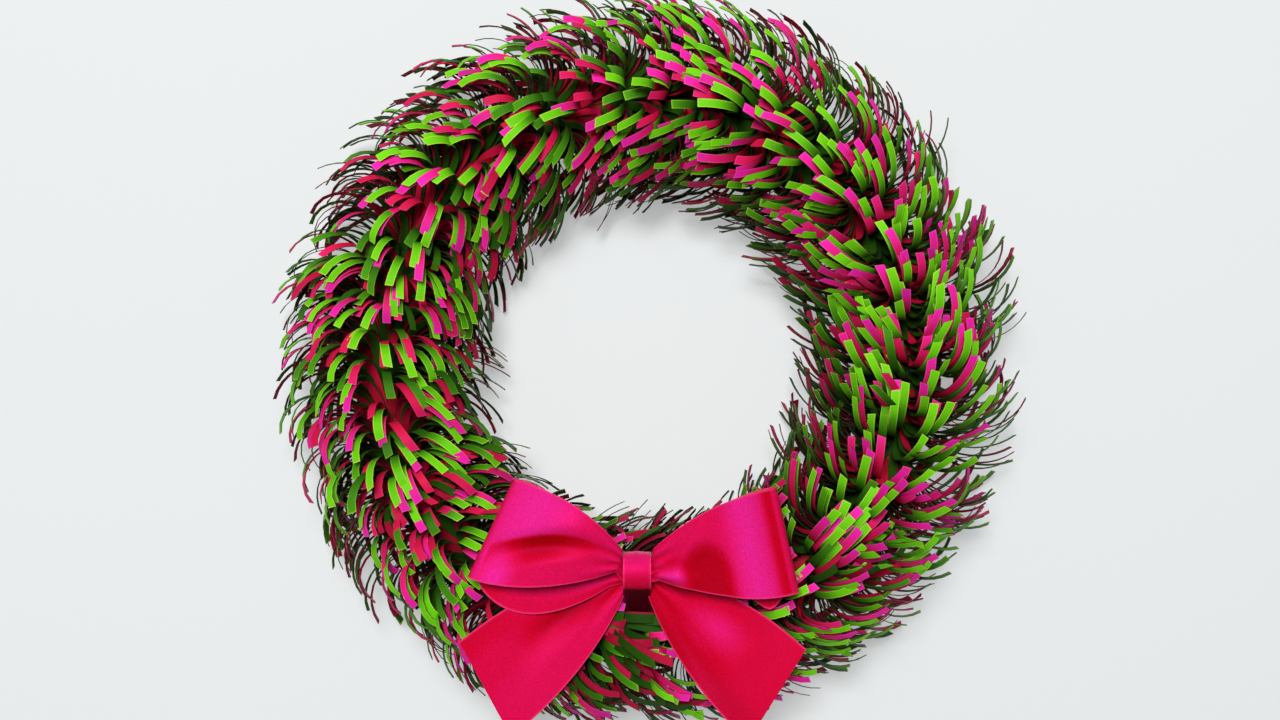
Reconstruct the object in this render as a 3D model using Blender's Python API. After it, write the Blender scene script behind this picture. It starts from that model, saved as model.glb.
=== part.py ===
"""Paper wreath: bands of curled green and pink paper fringe wound round a hoop, with a satin bow.

The wreath hangs upright. Its front faces -Y, +X is to the right seen from the front and +Z is up.
The origin is the top of the hoop's inner side, where a nail or a hook carries it.
The fringe curls counter-clockwise seen from the front.
"""

import functools
import math
import random

import bmesh
import bpy
from mathutils import Vector

# Hoop
HOOP_RADIUS = 0.130
CORE_RADIUS = 0.009
CORE_SIDES = 10
CORE_STEPS = 48

# Fringed bands, wound round the core one after another. Each strip here is a group of narrow
# ones side by side, which spread like a fan, so it widens from its root to its cut end.
BAND_COUNT = 47
MARGIN_WIDTH = 0.0125
PAPER_THICKNESS = 0.00025
CUT_LENGTH = 0.064
CUT_LENGTH_SPREAD = 0.010
STRIP_WIDTH = 0.0070
TIP_WIDTH = 0.0160
BAND_SIDES = 8
PINK_STRIPS = 4
LEAN_AT_ROOT = math.radians(-48)
LEAN_AT_TIP = math.radians(84)
BEND_STEPS = 3
BAND_TWIST = math.radians(17.5)
STRIP_SWAY = math.radians(5)
WALL_DEPTH = 0.029
WALL_SOFTNESS = 6
SEED = 7
SEARCH_STEPS = 40
PROBE_STEP = 0.0015

# Bow of satin ribbon
RIBBON_WIDTH = 0.051
RIBBON_THICKNESS = 0.0004
KNOT_ASIDE = -0.0044
KNOT_FORWARD = 0.0430
KNOT_ABOVE_CORE = 0.0292
KNOT_RADIUS = 0.0083
STRAP_WIDTH = 0.0132
STRAP_THICKNESS = 0.0006
FOLD_RADIUS = 0.0045
LOOP_LIFT = 0.0095
PLEAT_DEPTH = 0.0014
PINCH_ANGLE = math.radians(58)
TAIL_FORWARD = 0.006
TAIL_SKEW = math.radians(9)
RIBBON_COLUMNS = 5
LOOP_STOPS = (0.14, 0.34, 0.62, 0.84, 1.0)
TAIL_STOPS = (0.15, 0.35, 0.65, 1.0)
STRAP_ARC_STEPS = 7

# How sharply each edge of the ribbon opens from the knot, and how fast the pleats fade out
FRONT_TOP_OPENING = 2.5
FRONT_LOW_OPENING = 1.7
BACK_TOP_OPENING = 1.7
BACK_LOW_OPENING = 2.6
TAIL_TOP_OPENING = 2.4
TAIL_LOW_OPENING = 1.6
PLEAT_FADE = 2.5

# The crest of a loop's front layer lies nearer to the knot and to the ribbon's upper edge
LOOP_CREST = 0.8
LOOP_SLOPE = 0.45

# Shares of the round space in the strap that the pinched layers take
FRONT_PINCH_SPAN = 1.6
FLAT_PINCH = 0.75
TAIL_PINCH_TOP = 0.5
TAIL_PINCH_LOW = 0.8

# Where the outline of a side of the bow reaches its full width, as shares of its reach
LOOP_SHOULDER = 0.4
TAIL_HIP = 0.3

# Each side of the bow: the direction and reach of its loop and tail, and how wide the layers
# leave the knot above and below their middle line. A bulge pushes an edge out between its ends.
SIDES = {
    "left": {
        "loop_angle": math.radians(163.1),
        "loop_reach": 0.0678,
        "front_top": 0.0060,
        "front_low": -0.0002,
        "back_low": -0.0062,
        "back_bulge": 0.0090,
        "tail_angle": math.radians(217.8),
        "tail_reach": 0.0910,
    },
    "right": {
        "loop_angle": math.radians(12.2),
        "loop_reach": 0.0684,
        "front_top": 0.0072,
        "front_low": -0.0040,
        "back_low": -0.0066,
        "back_bulge": 0.0050,
        "tail_angle": math.radians(318.6),
        "tail_reach": 0.0884,
    },
}

# Clearances between pieces that touch on the real wreath
SEAT_GAP = 0.0005
LAYER_GAP = 0.0005
BOW_GAP = 0.0015
STRAP_GAP = 0.0003

COLOURS = {
    "core": ((0.55, 0.42, 0.28), 0.9),
    "green": ((0.17, 0.55, 0.03), 0.75),
    "pink": ((0.85, 0.03, 0.32), 0.75),
    "ribbon": ((0.80, 0.01, 0.13), 0.4),
}

RING_CENTRE = Vector((0, 0, -(HOOP_RADIUS - CORE_RADIUS)))
KNOT = RING_CENTRE + Vector((KNOT_ASIDE, -KNOT_FORWARD, KNOT_ABOVE_CORE - HOOP_RADIUS))
CORE_CORNER = CORE_RADIUS / math.cos(math.pi / CORE_SIDES)
BAND_FLAT = CORE_CORNER + SEAT_GAP + PAPER_THICKNESS / 2
BAND_CORNER = BAND_FLAT / math.cos(math.pi / BAND_SIDES)
MARGIN_ANGLE = MARGIN_WIDTH / HOOP_RADIUS
STRAP_ANGLE = -math.pi / 2 + KNOT_ASIDE / HOOP_RADIUS


def clear_scene():
    for item in list(bpy.data.objects):
        bpy.data.objects.remove(item)


def material(name):
    colour, roughness = COLOURS[name]
    made = bpy.data.materials.new(name)
    made.use_nodes = True
    shader = made.node_tree.nodes["Principled BSDF"]
    shader.inputs["Base Color"].default_value = (*colour, 1)
    shader.inputs["Roughness"].default_value = roughness
    shader.inputs["Metallic"].default_value = 0
    return made


def add_object(name, mesh_builder, finish):
    mesh = bpy.data.meshes.new(name)
    bmesh.ops.recalc_face_normals(mesh_builder, faces=mesh_builder.faces)
    mesh_builder.to_mesh(mesh)
    mesh_builder.free()
    mesh.materials.append(finish)
    made = bpy.data.objects.new(name, mesh)
    bpy.context.scene.collection.objects.link(made)
    return made


def add_both_faces(builder, near, far):
    """The two faces of a patch of sheet, each as two triangles split along the same diagonal."""
    for first, second, third in ((0, 1, 2), (0, 2, 3)):
        builder.faces.new((near[first], near[second], near[third]))
        builder.faces.new((far[first], far[third], far[second]))


def ring_point(turn, reach, side):
    """A point at the ring angle turn, reach away from the core's axis, in the direction side.

    Side 0 points away from the ring's centre, 90 degrees to the front and 180 into the hole.
    """
    from_centre = HOOP_RADIUS + reach * math.cos(side)
    return RING_CENTRE + Vector(
        (
            from_centre * math.cos(turn),
            -reach * math.sin(side),
            from_centre * math.sin(turn),
        )
    )


def build_core(finish):
    builder = bmesh.new()
    rows = []
    for step in range(CORE_STEPS):
        turn = 2 * math.pi * step / CORE_STEPS
        sides = [2 * math.pi * (k + 0.5) / CORE_SIDES for k in range(CORE_SIDES)]
        rows.append([builder.verts.new(ring_point(turn, CORE_CORNER, side)) for side in sides])
    for step in range(CORE_STEPS):
        here = rows[step]
        ahead = rows[(step + 1) % CORE_STEPS]
        for k in range(CORE_SIDES):
            after = (k + 1) % CORE_SIDES
            builder.faces.new((here[k], here[after], ahead[after], ahead[k]))
    return add_object("core_ring", builder, finish)


def back_swing():
    """How far a strip swings back from its root before it curls forward."""
    bend = (LEAN_AT_TIP - LEAN_AT_ROOT) / CUT_LENGTH
    return (1 - math.cos(LEAN_AT_ROOT)) / bend


def band_turns():
    """Ring angles of the bands' roots, spread evenly from one side of the bow's strap to the other."""
    strap_half = STRAP_WIDTH / 2 + BOW_GAP
    first_room = strap_half + STRIP_WIDTH / 2 + back_swing()
    last_room = strap_half + MARGIN_WIDTH
    first = STRAP_ANGLE + first_room / (HOOP_RADIUS - KNOT_ABOVE_CORE)
    last = STRAP_ANGLE + 2 * math.pi - last_room / HOOP_RADIUS
    return [first + (last - first) * k / (BAND_COUNT - 1) for k in range(BAND_COUNT)]


def free_reach():
    """How far from the core's axis the longest strip's tip stands where nothing is in its way."""
    return BAND_CORNER + climb(LEAN_AT_ROOT)


def climb(lean_at_root):
    """How far a strip of full length rises from its root, as it bends evenly up to its tip's lean."""
    bend = (LEAN_AT_TIP - lean_at_root) / CUT_LENGTH
    return (math.sin(LEAN_AT_TIP) - math.sin(lean_at_root)) / bend


def root_lean(side):
    """The lean of a strip at its root. Behind the core the strips lie down along the wall."""
    most = free_reach()
    towards_wall = max(-math.sin(side), 1e-6)
    at_wall = WALL_DEPTH / towards_wall
    reach = (most**-WALL_SOFTNESS + at_wall**-WALL_SOFTNESS) ** (-1 / WALL_SOFTNESS)
    wanted = reach - BAND_CORNER
    low, high = LEAN_AT_ROOT, LEAN_AT_TIP - math.radians(1)
    for _ in range(SEARCH_STEPS):
        middle = (low + high) / 2
        if climb(middle) > wanted:
            low = middle
        else:
            high = middle
    return (low + high) / 2


@functools.lru_cache(maxsize=None)
def strip_course(side):
    """(distance along the strip, reach, ring angle gained) at the root and after each bend."""
    lean = root_lean(side)
    bend = (LEAN_AT_TIP - lean) / CUT_LENGTH
    small_steps = 12
    step = CUT_LENGTH / (BEND_STEPS * small_steps)
    reach, turn = BAND_CORNER, 0.0
    course = [(0.0, reach, turn)]
    for _ in range(BEND_STEPS):
        for _ in range(small_steps):
            middle = lean + bend * step / 2
            turn += math.sin(middle) * step / (HOOP_RADIUS + reach * math.cos(side))
            reach += math.cos(middle) * step
            lean += bend * step
        course.append((course[-1][0] + CUT_LENGTH / BEND_STEPS, reach, turn))
    return course


def fold_room(side):
    """How far from a strip's root its inner face leaves the margin, so that the paper folds cleanly."""
    root, first_bend = strip_course(side)[:2]
    around = HOOP_RADIUS + root[1] * math.cos(side)
    opening = math.atan2(first_bend[1] - root[1], (first_bend[2] - root[2]) * around)
    return PAPER_THICKNESS / math.tan(opening / 2) / around


def course_at(course, length):
    """(reach, ring angle gained) at a length along the strip, on its straight runs between bends."""
    for before, after in zip(course, course[1:]):
        if length <= after[0] + 1e-9:
            share = (length - before[0]) / (after[0] - before[0])
            reach = before[1] + share * (after[1] - before[1])
            turn = before[2] + share * (after[2] - before[2])
            return reach, turn
    return course[-1][1], course[-1][2]


def half_angle_at(side, length):
    """Half of the angle round the core that a strip takes up, at a length along it."""
    width = STRIP_WIDTH + (TIP_WIDTH - STRIP_WIDTH) * length / CUT_LENGTH
    return width / 2 / course_at(strip_course(side), length)[0]


def inside_outline(x, z, outline):
    inside = False
    for (x1, z1), (x2, z2) in zip(outline, outline[1:] + outline[:1]):
        if (z1 > z) != (z2 > z) and x < x1 + (z - z1) / (z2 - z1) * (x2 - x1):
            inside = not inside
    return inside


def side_outline(side):
    """Outline of one side of the bow from the front, round its loop and its tail, as (x, z)."""
    loop_axis, loop_up = axes_of(side["loop_angle"])
    tail_axis, tail_up = axes_of(side["tail_angle"])
    margin = BOW_GAP + FOLD_RADIUS
    half = RIBBON_WIDTH / 2 + margin
    reach = side["loop_reach"] + FOLD_RADIUS + margin
    tail_reach = side["tail_reach"] + half * math.tan(TAIL_SKEW) + margin
    top = KNOT + loop_up * (KNOT_RADIUS + margin)
    corners = [
        top - loop_axis * margin,
        KNOT + loop_axis * reach * LOOP_SHOULDER + loop_up * half,
        KNOT + loop_axis * reach + loop_up * half,
        KNOT + loop_axis * reach - loop_up * half,
        KNOT + tail_axis * tail_reach + tail_up * half,
        KNOT + tail_axis * tail_reach - tail_up * half,
        KNOT + tail_axis * tail_reach * TAIL_HIP - tail_up * half,
        KNOT - Vector((0, 0, KNOT_RADIUS + margin)),
    ]
    return [(corner.x, corner.z) for corner in corners]


def strap_distance(point):
    """How far a point lies, seen along X, outside the line from the core's axis to the knot."""
    core_axis = Vector((0, RING_CENTRE.z - HOOP_RADIUS))
    knot = Vector((KNOT.y, KNOT.z))
    here = Vector((point.y, point.z))
    run = knot - core_axis
    share = min(1.0, max(0.0, (here - core_axis).dot(run) / run.length_squared))
    return (here - core_axis - run * share).length


def in_bow_space(point, outlines):
    """Whether a strip at this point would stand in the bow or in its strap."""
    if abs(point.x - KNOT.x) < STRAP_WIDTH / 2 + BOW_GAP + STRIP_WIDTH / 2:
        if strap_distance(point) < strap_core_radius() + STRAP_THICKNESS + BOW_GAP:
            return True
    if point.y > tail_depth(0) + BOW_GAP:
        return False
    return any(inside_outline(point.x, point.z, outline) for outline in outlines)


def strip_length(turn, side, wanted, outlines):
    """The wanted length, or less where the strip would run into the bow and lies cut short under it."""
    length = PROBE_STEP
    while length < wanted:
        half_angle = half_angle_at(side, length)
        for edge in (side - half_angle, side, side + half_angle):
            reach, gained = course_at(strip_course(edge), length)
            if in_bow_space(ring_point(turn + gained, reach, edge), outlines):
                return length - 2 * PROBE_STEP
        length += PROBE_STEP
    return wanted


def sheet_pair(builder, turn, side, length, towards_tip):
    """Two vertices, on the inner and the outer face of the paper, at a point of a strip."""
    course = strip_course(side)
    reach, gained = course_at(course, length)
    probe = PAPER_THICKNESS if towards_tip else -PAPER_THICKNESS
    other_reach, other_gained = course_at(course, length + probe)
    around = HOOP_RADIUS + reach * math.cos(side)
    run_out = (other_reach - reach) / probe
    run_along = (other_gained - gained) / probe * around
    half = PAPER_THICKNESS / 2 / math.hypot(run_out, run_along)
    inner = ring_point(turn + gained - run_out * half / around, reach + run_along * half, side)
    outer = ring_point(turn + gained + run_out * half / around, reach - run_along * half, side)
    return builder.verts.new(inner), builder.verts.new(outer)


def add_strip(builder, roots, turn, side, length):
    """One strip of fringe, from its two root pairs (inner, outer) out to its cut end."""
    left, right = roots
    stops = [k * CUT_LENGTH / BEND_STEPS for k in range(1, BEND_STEPS)]
    stops = [stop for stop in stops if stop < length - STRIP_WIDTH / 2] + [length]
    for stop in stops:
        half_angle = half_angle_at(side, stop)
        edges = (side - half_angle, side + half_angle)
        pairs = [sheet_pair(builder, turn, edge, stop, stop < length) for edge in edges]
        (left_in, left_out), (right_in, right_out) = left, right
        (next_left_in, next_left_out), (next_right_in, next_right_out) = pairs
        outer = (left_out, right_out, next_right_out, next_left_out)
        inner = (left_in, right_in, next_right_in, next_left_in)
        add_both_faces(builder, outer, inner)
        builder.faces.new((left_in, left_out, next_left_out, next_left_in))
        builder.faces.new((right_in, next_right_in, next_right_out, right_out))
        left, right = pairs
    builder.faces.new((left[0], left[1], right[1], right[0]))


def build_band(name, turn, twist, strip_sides, finish, chance, outlines):
    """A fringed band: its uncut margin lies round the core, and strips rise from the margin's edge."""
    builder = bmesh.new()
    corners = [twist + 2 * math.pi * (k - 0.5) / BAND_SIDES for k in range(BAND_SIDES)]
    inner_face = BAND_CORNER - PAPER_THICKNESS / 2
    outer_face = BAND_CORNER + PAPER_THICKNESS / 2
    far, root = [], []
    for corner in corners:
        far_turns = (turn + MARGIN_ANGLE, turn + MARGIN_ANGLE)
        root_turns = (turn, turn + fold_room(corner))
        for row, (inner_turn, outer_turn) in ((far, far_turns), (root, root_turns)):
            inner = builder.verts.new(ring_point(inner_turn, inner_face, corner))
            outer = builder.verts.new(ring_point(outer_turn, outer_face, corner))
            row.append((inner, outer))
    for k in range(BAND_SIDES):
        after = (k + 1) % BAND_SIDES
        outer = (far[k][1], root[k][1], root[after][1], far[after][1])
        inner = (far[k][0], root[k][0], root[after][0], far[after][0])
        add_both_faces(builder, outer, inner)
        builder.faces.new((far[k][0], far[k][1], far[after][1], far[after][0]))
        side = twist + 2 * math.pi * k / BAND_SIDES
        sway = chance.uniform(-STRIP_SWAY, STRIP_SWAY)
        wanted = CUT_LENGTH - CUT_LENGTH_SPREAD * chance.random()
        length = strip_length(turn, side + sway, wanted, outlines)
        if k in strip_sides and length > STRIP_WIDTH:
            add_strip(builder, (root[k], root[after]), turn, side + sway, length)
        else:
            builder.faces.new((root[k][0], root[after][0], root[after][1], root[k][1]))
    return add_object(name, builder, finish)


def build_fringe(green, pink):
    """Green and pink bands by turns round the hoop. The core stays bare under the bow's strap."""
    chance = random.Random(SEED)
    outlines = [side_outline(SIDES["left"]), side_outline(SIDES["right"])]
    every_side = range(BAND_SIDES)
    apart = BAND_SIDES // PINK_STRIPS
    for order, turn in enumerate(band_turns()):
        number = order // 2 + 1
        twist = (order + 1) * BAND_TWIST
        if order % 2:
            name = f"pink_fringe_{number:02d}"
            some_sides = range(number % apart, BAND_SIDES, apart)
            build_band(name, turn, twist, some_sides, pink, chance, outlines)
        else:
            name = f"green_fringe_{number:02d}"
            build_band(name, turn, twist, every_side, green, chance, outlines)


def axes_of(angle):
    """Unit vectors along an angle of the bow's plane and across it, on its upper side."""
    along = Vector((math.cos(angle), 0, math.sin(angle)))
    across = Vector((-math.sin(angle), 0, math.cos(angle)))
    if math.cos(angle) < 0:
        across.negate()
    return along, across


def spread(start, end, share, sharpness, bulge=0.0):
    """An edge that opens quickly from the knot and then runs straight."""
    eased = 1 - (1 - share) ** sharpness
    return start + (end - start) * eased + bulge * math.sin(math.pi * math.sqrt(share))


def loop_point(side, share, across_share, is_front):
    """A point of a loop's front or back layer. share runs from the knot to the fold."""
    along, up = axes_of(side["loop_angle"])
    half = RIBBON_WIDTH / 2
    if is_front:
        top = spread(side["front_top"], half, share, FRONT_TOP_OPENING)
        low = spread(side["front_low"], -half, share, FRONT_LOW_OPENING)
        crest = math.sin(math.pi * share**LOOP_CREST)
        rise = LOOP_LIFT * crest * (1 - LOOP_SLOPE * across_share)
        front_start = KNOT.y - pinch_room()
        depth = front_start + (back_depth() - 2 * FOLD_RADIUS - front_start) * share - rise
    else:
        top = spread(side["front_top"], half, share, BACK_TOP_OPENING)
        low = spread(side["back_low"], -half, share, BACK_LOW_OPENING, -side["back_bulge"])
        depth = back_depth()
    start = STRAP_WIDTH / 2
    distance = start + (side["loop_reach"] - start) * share
    across = top + (low - top) * across_share
    point = KNOT + along * distance + up * across
    return Vector((point.x, depth, point.z))


def pinch_room():
    """Radius of the round space that the strap leaves for the middle of the outermost layer."""
    return KNOT_RADIUS - STRAP_GAP - RIBBON_THICKNESS / 2


def back_depth():
    """The loops' back layer lies flat, just behind the pleats of the front layer."""
    pleats = (pinch_room() - 2 * PLEAT_DEPTH) * math.cos(PINCH_ANGLE)
    return KNOT.y - pleats + RIBBON_THICKNESS + LAYER_GAP + PLEAT_DEPTH / 2


def tail_depth(share):
    """The tails leave the knot behind the loops and come forward again towards their ends."""
    at_knot = back_depth() + PLEAT_DEPTH + RIBBON_THICKNESS + LAYER_GAP
    return at_knot - TAIL_FORWARD * share**4


def front_pinch_row(way):
    """The front layer's pleats, on the strap's inner curve. way is 1 to the right and -1 to the left."""
    row = []
    for j in range(RIBBON_COLUMNS + 1):
        angle = PINCH_ANGLE * (1 - FRONT_PINCH_SPAN * j / RIBBON_COLUMNS)
        radius = pinch_room() - (2 * PLEAT_DEPTH if j % 2 else 0)
        offset = Vector((0, -radius * math.cos(angle), radius * math.sin(angle)))
        row.append(KNOT + offset + Vector((way * (STRAP_WIDTH / 2 + STRAP_GAP), 0, 0)))
    return row


def flat_pinch_row(way, depth):
    """The pleats of a layer behind the front one, gathered to the height of the strap's opening."""
    height = pinch_room() * FLAT_PINCH
    row = []
    for j in range(RIBBON_COLUMNS + 1):
        pleat = PLEAT_DEPTH / 2 * (1 if j % 2 else -1)
        x = KNOT.x + way * (STRAP_WIDTH / 2 + STRAP_GAP)
        z = KNOT.z + height * (1 - 2 * j / RIBBON_COLUMNS)
        row.append(Vector((x, depth + pleat, z)))
    return row


def pleated(point, share, row):
    """Pleats stand across the ribbon at the knot and run out along it."""
    depth = PLEAT_DEPTH / 2 * (1 - share) ** PLEAT_FADE * (1 if row % 2 else -1)
    return point + Vector((0, depth, 0))


def loop_layer_rows(side, shares, is_front):
    """Rows of points across one layer of a loop, at these shares of the way to its fold."""
    rows = []
    for share in shares:
        row = []
        for j in range(RIBBON_COLUMNS + 1):
            point = loop_point(side, share, j / RIBBON_COLUMNS, is_front)
            row.append(pleated(point, share, j))
        rows.append(row)
    return rows


def loop_rows(side, way):
    """Rows of points from the knot's front along a loop, round its fold and back behind the knot."""
    rows = [front_pinch_row(way)] + loop_layer_rows(side, LOOP_STOPS, True)
    along, _ = axes_of(side["loop_angle"])
    fold = along * FOLD_RADIUS + Vector((0, FOLD_RADIUS, 0))
    rows.append([point + fold for point in rows[-1]])
    rows += loop_layer_rows(side, reversed(LOOP_STOPS), False)
    rows.append(flat_pinch_row(way, back_depth()))
    return rows


def middle_row(first, second):
    return [(a + b) / 2 for a, b in zip(first, second)]


def thick_sheet(builder, rows, thickness, is_ring):
    """Gives a grid of points a thickness and closes it at its edges, and at its ends if it has any."""
    count, width = len(rows), len(rows[0])
    near, far = [], []
    for i, row in enumerate(rows):
        before = rows[i - 1] if i or is_ring else row
        after = rows[(i + 1) % count] if i < count - 1 or is_ring else row
        near_row, far_row = [], []
        for j, point in enumerate(row):
            along = after[j] - before[j]
            across = row[min(j + 1, width - 1)] - row[max(j - 1, 0)]
            offset = along.cross(across).normalized() * thickness / 2
            near_row.append(builder.verts.new(point + offset))
            far_row.append(builder.verts.new(point - offset))
        near.append(near_row)
        far.append(far_row)
    for i in range(count if is_ring else count - 1):
        n = (i + 1) % count
        for j in range(width - 1):
            near_patch = (near[i][j], near[n][j], near[n][j + 1], near[i][j + 1])
            far_patch = (far[i][j], far[n][j], far[n][j + 1], far[i][j + 1])
            add_both_faces(builder, near_patch, far_patch)
        builder.faces.new((near[i][0], far[i][0], far[n][0], near[n][0]))
        builder.faces.new((near[i][-1], near[n][-1], far[n][-1], far[i][-1]))
    if not is_ring:
        for j in range(width - 1):
            builder.faces.new((near[0][j], near[0][j + 1], far[0][j + 1], far[0][j]))
            builder.faces.new((near[-1][j], far[-1][j], far[-1][j + 1], near[-1][j + 1]))


def build_loops(finish):
    """One closed ribbon: knot, left loop, knot again behind, right loop, and back to the start."""
    left = loop_rows(SIDES["left"], -1)
    right = loop_rows(SIDES["right"], 1)
    right.reverse()
    rows = left + [middle_row(left[-1], right[0])] + right + [middle_row(right[-1], left[0])]
    builder = bmesh.new()
    thick_sheet(builder, rows, RIBBON_THICKNESS, True)
    return add_object("bow_loops", builder, finish)


def tail_row(side, share):
    along, up = axes_of(side["tail_angle"])
    half = RIBBON_WIDTH / 2
    top = spread(pinch_room() * TAIL_PINCH_TOP, half, share, TAIL_TOP_OPENING)
    low = spread(-pinch_room() * TAIL_PINCH_LOW, -half, share, TAIL_LOW_OPENING)
    start = STRAP_WIDTH / 2
    row = []
    for j in range(RIBBON_COLUMNS + 1):
        across = top + (low - top) * j / RIBBON_COLUMNS
        reach = side["tail_reach"] - across * math.tan(TAIL_SKEW)
        distance = start + (reach - start) * share
        point = KNOT + along * distance + up * across
        row.append(pleated(Vector((point.x, tail_depth(share), point.z)), share, j))
    return row


def build_tails(finish):
    """One ribbon from the left tail's cut end, pinched behind the loops, to the right tail's."""
    left = [tail_row(SIDES["left"], share) for share in reversed(TAIL_STOPS)]
    right = [tail_row(SIDES["right"], share) for share in TAIL_STOPS]
    pinch = [flat_pinch_row(way, tail_depth(0)) for way in (-1, 1)]
    rows = left + pinch + right
    builder = bmesh.new()
    thick_sheet(builder, rows, RIBBON_THICKNESS, False)
    return add_object("bow_tails", builder, finish)


def strap_core_radius():
    """Inner radius of the strap where it passes behind the core, which bends within its width."""
    bow_of_core = HOOP_RADIUS - math.sqrt(HOOP_RADIUS**2 - (STRAP_WIDTH / 2 + abs(KNOT.x)) ** 2)
    return CORE_CORNER + STRAP_GAP + bow_of_core


def build_knot(finish):
    """The strap is a belt, seen along X: round the gathered ribbons in front and the core behind."""
    core_axis = Vector((0, RING_CENTRE.z - HOOP_RADIUS))
    knot_axis = Vector((KNOT.y, KNOT.z))
    run = knot_axis - core_axis
    heading = math.atan2(run.y, run.x)
    lean = math.acos((strap_core_radius() - KNOT_RADIUS) / run.length)
    rows = []
    for centre, radius, start, end in (
        (knot_axis, KNOT_RADIUS, heading - lean, heading + lean),
        (core_axis, strap_core_radius(), heading + lean, heading - lean + 2 * math.pi),
    ):
        for k in range(STRAP_ARC_STEPS + 1):
            angle = start + (end - start) * k / STRAP_ARC_STEPS
            half_step = (end - start) / STRAP_ARC_STEPS / 2
            outside = (radius + STRAP_THICKNESS / 2) / math.cos(half_step)
            y = centre.x + outside * math.cos(angle)
            z = centre.y + outside * math.sin(angle)
            left = Vector((KNOT.x - STRAP_WIDTH / 2, y, z))
            rows.append([left, left + Vector((STRAP_WIDTH, 0, 0))])
    builder = bmesh.new()
    thick_sheet(builder, rows, STRAP_THICKNESS, True)
    return add_object("bow_knot", builder, finish)


def build_wreath():
    clear_scene()
    finishes = {name: material(name) for name in COLOURS}
    build_core(finishes["core"])
    build_fringe(finishes["green"], finishes["pink"])
    build_loops(finishes["ribbon"])
    build_tails(finishes["ribbon"])
    build_knot(finishes["ribbon"])


build_wreath()
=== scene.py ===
"""Paper wreath: curled green and pink paper fringe wound round a hoop, with a satin bow."""

import random
from functools import cache
from math import acos, atan2, cos, exp, hypot, pi, radians, sin, sqrt, tan, tau

import bpy
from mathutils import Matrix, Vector, noise


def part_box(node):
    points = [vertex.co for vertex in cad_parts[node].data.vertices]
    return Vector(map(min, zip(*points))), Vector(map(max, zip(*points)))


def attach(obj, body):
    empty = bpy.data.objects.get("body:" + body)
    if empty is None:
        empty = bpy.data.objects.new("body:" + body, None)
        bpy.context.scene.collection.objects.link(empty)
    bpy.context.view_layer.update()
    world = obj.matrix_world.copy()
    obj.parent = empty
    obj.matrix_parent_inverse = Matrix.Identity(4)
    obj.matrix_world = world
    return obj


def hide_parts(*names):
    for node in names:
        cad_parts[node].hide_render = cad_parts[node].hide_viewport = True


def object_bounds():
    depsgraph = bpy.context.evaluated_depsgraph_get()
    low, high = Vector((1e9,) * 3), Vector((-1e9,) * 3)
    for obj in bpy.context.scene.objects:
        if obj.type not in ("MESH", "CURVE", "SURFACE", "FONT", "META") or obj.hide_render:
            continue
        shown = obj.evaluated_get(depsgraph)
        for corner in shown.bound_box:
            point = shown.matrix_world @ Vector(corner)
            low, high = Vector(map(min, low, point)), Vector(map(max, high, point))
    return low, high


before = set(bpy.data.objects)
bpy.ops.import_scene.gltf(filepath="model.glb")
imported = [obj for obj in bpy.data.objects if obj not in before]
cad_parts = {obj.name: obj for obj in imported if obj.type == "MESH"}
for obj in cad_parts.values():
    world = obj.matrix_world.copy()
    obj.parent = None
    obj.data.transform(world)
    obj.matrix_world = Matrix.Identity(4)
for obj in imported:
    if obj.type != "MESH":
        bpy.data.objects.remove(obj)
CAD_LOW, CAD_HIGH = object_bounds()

# Hoop and the bands' margins, as in the solids
CORE_LOW, CORE_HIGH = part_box("core_ring")
CORE_RADIUS = (CORE_HIGH.y - CORE_LOW.y) / 2
HOOP_RADIUS = (CORE_HIGH.x - CORE_LOW.x) / 2 - CORE_RADIUS
RING_CENTRE = (CORE_LOW + CORE_HIGH) / 2
HOOP_STEPS = 144
HOOP_SIDES = 20
HOOP_SHARE = 0.985
MARGIN_WIDTH = 0.0125
MARGIN_REACH = 0.0112
MARGIN_SIDES = 24

# Fringe: a fan of fine strips at each band, in rows round the core
PAPER_THICKNESS = 0.00038
STRIP_WIDTH = 0.0042
WIDTH_SHARES = (0.90, 1.10)
STRIPS_PER_ROW = 17
STRIP_STEPS = 12
ROOT_REACH = 0.0104
CUT_LENGTH = 0.0585
ROW_SHORTER = 0.003
LENGTH_SPREAD = 0.011
LENGTH_POWER = 1.5
INNER_SHORTER = 0.003
CUT_SLANT = 0.0007
LEAN_AT_ROOT = radians(-38)
LEAN_AT_TIP = radians(80)
LEAST_LEAN = radians(-82)
LEAN_HALVINGS = 24
CURL_POWER = 1.2
ROLL = radians(10)
CHANCE = random.Random(21)

# The rows of each kind of fan. A row has a colour, a place along the hoop and a lean in degrees,
# both counted from the fan's middle, and it may lie close under the row before it, strip by strip.
GREEN_FAN = (
    ("green", -0.0016, -9, False),
    ("pink", -0.0009, -6.5, True),
    ("green", 0.0004, 1, False),
    ("green", 0.0014, 7, False),
)
PINK_LAST_FAN = (
    ("green", -0.0016, -8, False),
    ("pink", -0.0009, -5.5, True),
    ("green", 0.0006, 4, False),
    ("pink", 0.0013, 6.5, True),
)
GREEN_LAST_FAN = (
    ("green", -0.0016, -8, False),
    ("pink", -0.0009, -5.5, True),
    ("pink", 0.0006, 4, False),
    ("green", 0.0013, 6.5, True),
)
FANS = (GREEN_FAN, PINK_LAST_FAN, GREEN_LAST_FAN)
FAN_LEAN = radians(11)
FAN_TIP_LEAN = radians(14)

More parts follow.
